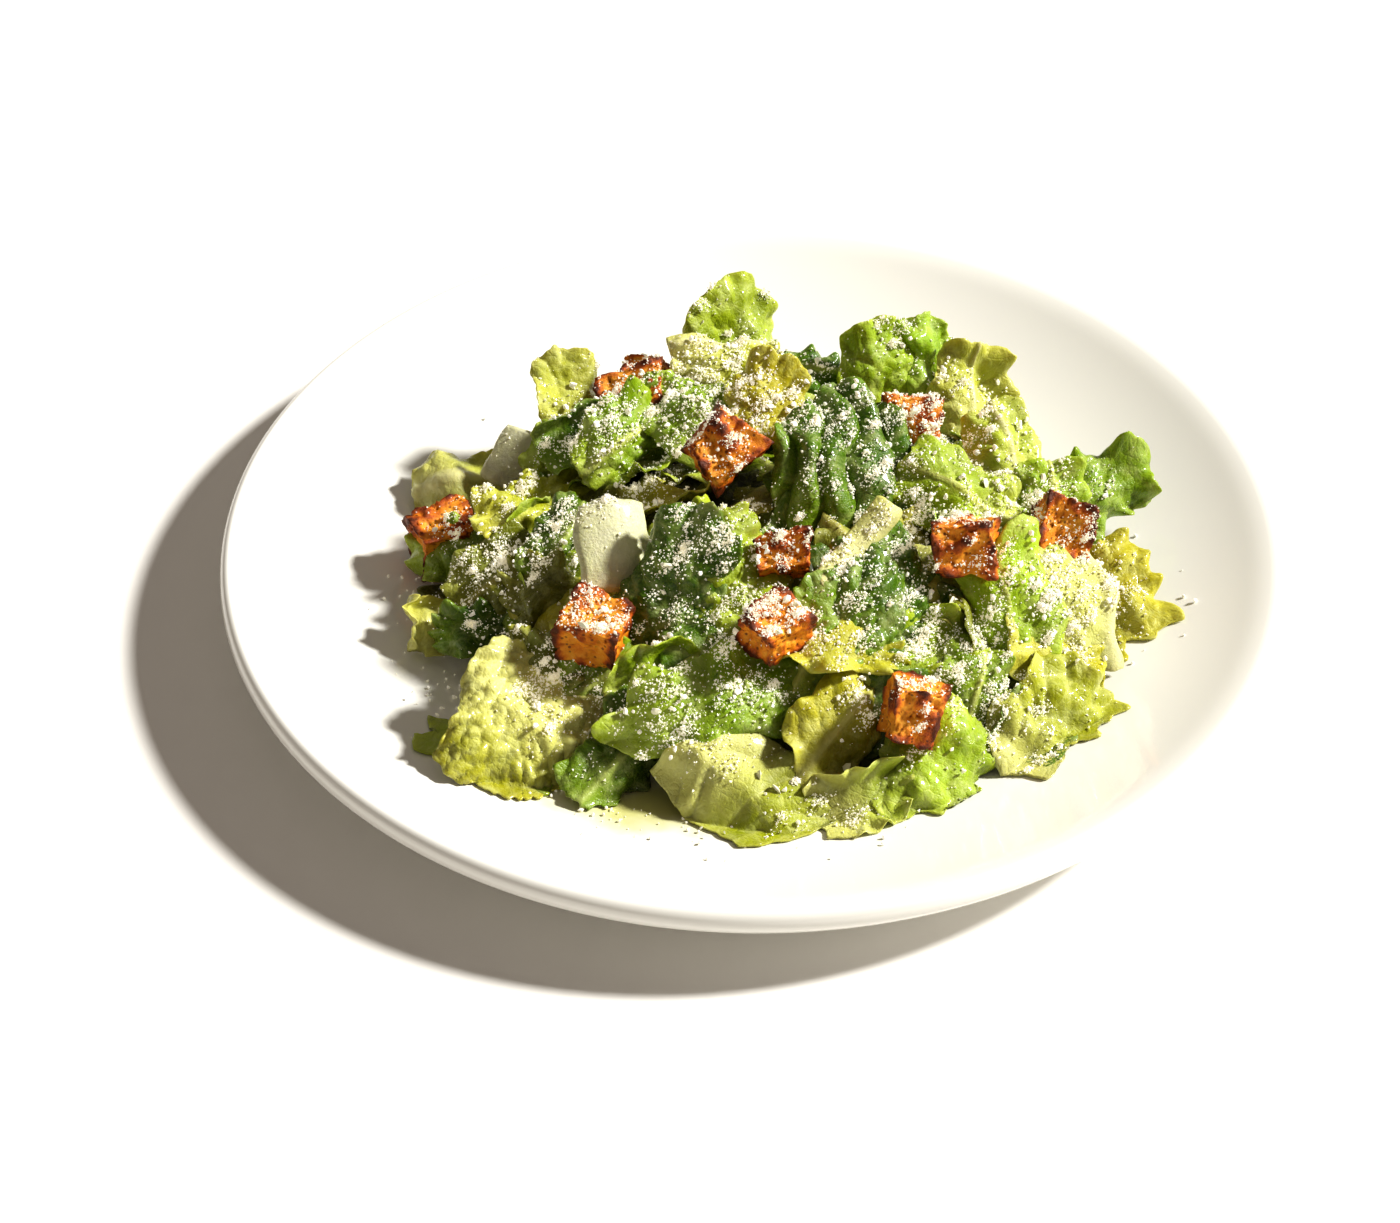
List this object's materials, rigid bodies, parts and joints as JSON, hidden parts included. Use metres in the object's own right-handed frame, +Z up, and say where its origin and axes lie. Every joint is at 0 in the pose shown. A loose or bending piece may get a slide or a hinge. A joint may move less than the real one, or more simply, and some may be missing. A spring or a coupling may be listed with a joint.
{
  "type": "caesar salad",
  "caption": "Caesar salad of torn romaine leaves with golden croutons and grated hard cheese, piled on a round white coupe plate.",
  "frame": {"origin": "middle of the plate's foot, on the surface the plate stands on", "axes": "+Z up out of the plate; -Y is the front of the dish as served; +X to the right seen from the front"},
  "size_m": [0.3, 0.3, 0.0688],
  "materials": {
    "white_glaze": "smooth glossy white glaze",
    "romaine": "moist green lettuce coated with thin dressing",
    "toasted_bread": "dry toasted bread with browned edges"
  },
  "bodies": {
    "root": {"plate": "white_glaze", "salad_heap": "romaine", "crouton_left": "toasted_bread", "crouton_back_small": "toasted_bread", "crouton_back": "toasted_bread", "crouton_top": "toasted_bread", "crouton_right_upper": "toasted_bread", "crouton_right": "toasted_bread", "crouton_far_right": "toasted_bread", "crouton_middle": "toasted_bread", "crouton_front_middle": "toasted_bread", "crouton_front_left": "toasted_bread", "crouton_front_right": "toasted_bread"}
  },
  "joints": []
}
